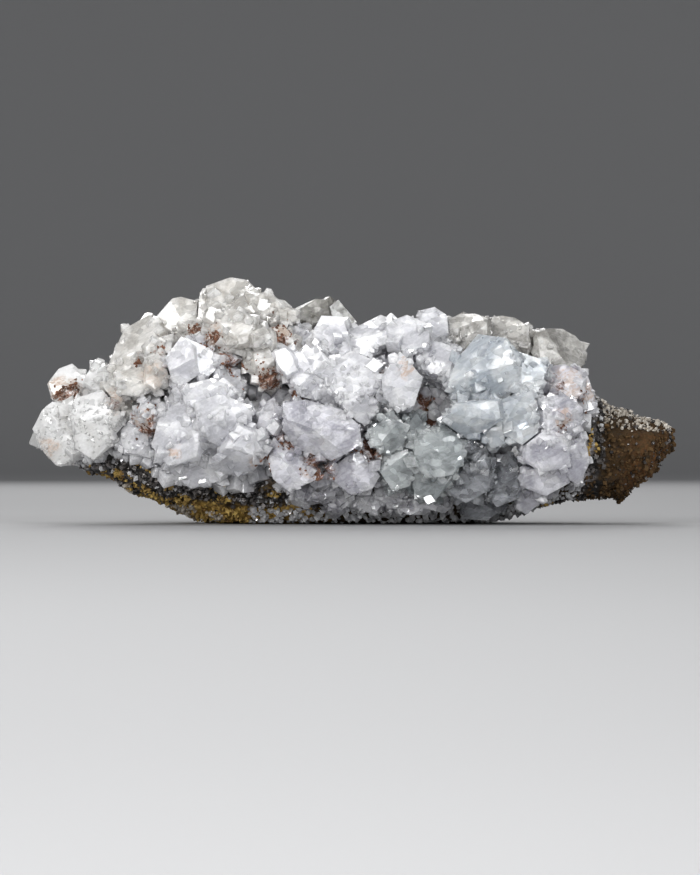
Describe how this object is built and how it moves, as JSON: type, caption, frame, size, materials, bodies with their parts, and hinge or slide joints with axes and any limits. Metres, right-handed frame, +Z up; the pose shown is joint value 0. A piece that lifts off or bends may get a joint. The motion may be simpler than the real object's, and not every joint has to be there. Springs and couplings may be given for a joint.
{
  "type": "calcite crystal cluster on matrix",
  "caption": "natural calcite crystal cluster, clear to milky blocky crystals grown over the front and top of an iron-stained matrix rock, resting on a small flat spot",
  "frame": {"origin": "under the middle of the specimen's bounding box, on the plane it rests on", "axes": "+X to the right along the specimen's length, -Y is the crystal-covered front, +Z up"},
  "size_m": [0.1214, 0.0632, 0.0459],
  "materials": {
    "limonite_rock": "rough broken rock, ochre to dark brown iron staining",
    "milky_calcite": "milky translucent crystal with smooth faces",
    "cream_calcite": "warm white translucent crystal with smooth faces",
    "lilac_calcite": "cool lilac-white translucent crystal with smooth faces",
    "clear_calcite": "clear glassy crystal with inner veils",
    "smoky_calcite": "clear smoky crystal over dark rock"
  },
  "bodies": {
    "root": {"matrix_rock": "limonite_rock", "left_end_crystals": "cream_calcite", "upper_left_crystals": "cream_calcite", "peak_crystals": "cream_calcite", "white_block_crystals": "milky_calcite", "left_boss_crystals": "milky_calcite", "centre_crystals": "milky_calcite", "ridge_crystals": "cream_calcite", "large_lilac_crystals": "lilac_calcite", "lower_centre_crystals": "clear_calcite", "large_right_crystals": "clear_calcite", "top_right_crystals": "cream_calcite", "right_flank_crystals": "lilac_calcite", "smoky_base_crystals": "smoky_calcite", "base_crust_crystals": "lilac_calcite", "back_left_crystals": "milky_calcite", "back_right_crystals": "cream_calcite"}
  },
  "joints": []
}
